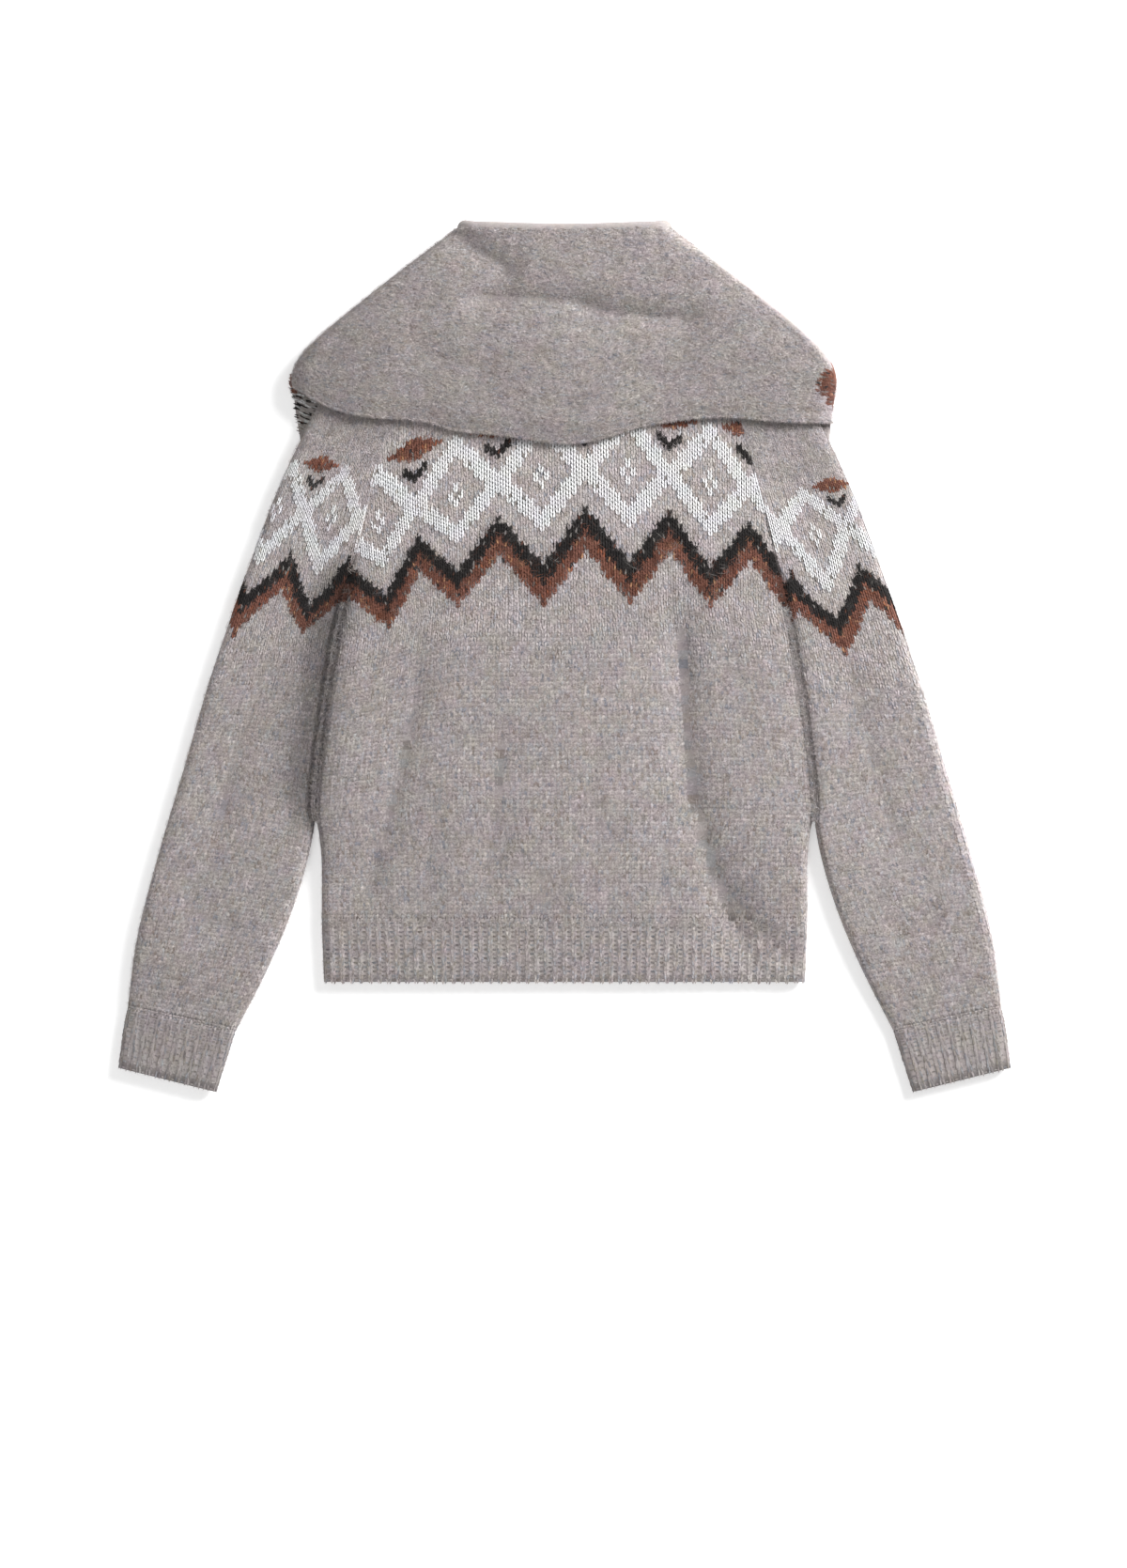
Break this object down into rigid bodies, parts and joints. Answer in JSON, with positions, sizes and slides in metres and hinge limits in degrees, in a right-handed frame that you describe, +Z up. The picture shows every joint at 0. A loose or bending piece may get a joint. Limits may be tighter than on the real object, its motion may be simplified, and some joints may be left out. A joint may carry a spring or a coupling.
{
  "type": "cardigan",
  "caption": "Brushed knit cardigan with a patterned yoke, ribbed hem and cuffs and a wide shawl collar, laid flat with its back up",
  "frame": {"origin": "middle of the laid-out garment's footprint, on the surface that it lies on", "axes": "+X across the garment to the right as seen from above, +Y from the hem to the collar, +Z up off the surface"},
  "size_m": [0.828, 0.807, 0.0235],
  "materials": {
    "marled_knit": "brushed, marled taupe-grey wool knit in stocking stitch with a stranded band in white, black and rust brown",
    "rib_knit": "the same marled wool in one-and-one rib",
    "brushed_knit": "the same wool brushed to a soft, felt-like nap"
  },
  "bodies": {
    "root": {"back": "marled_knit", "front_left": "marled_knit", "front_right": "marled_knit", "sleeve_left": "marled_knit", "sleeve_right": "marled_knit", "back_hem_rib": "rib_knit", "front_hem_rib_left": "rib_knit", "front_hem_rib_right": "rib_knit", "cuff_left": "rib_knit", "cuff_right": "rib_knit", "collar": "brushed_knit"}
  },
  "joints": []
}
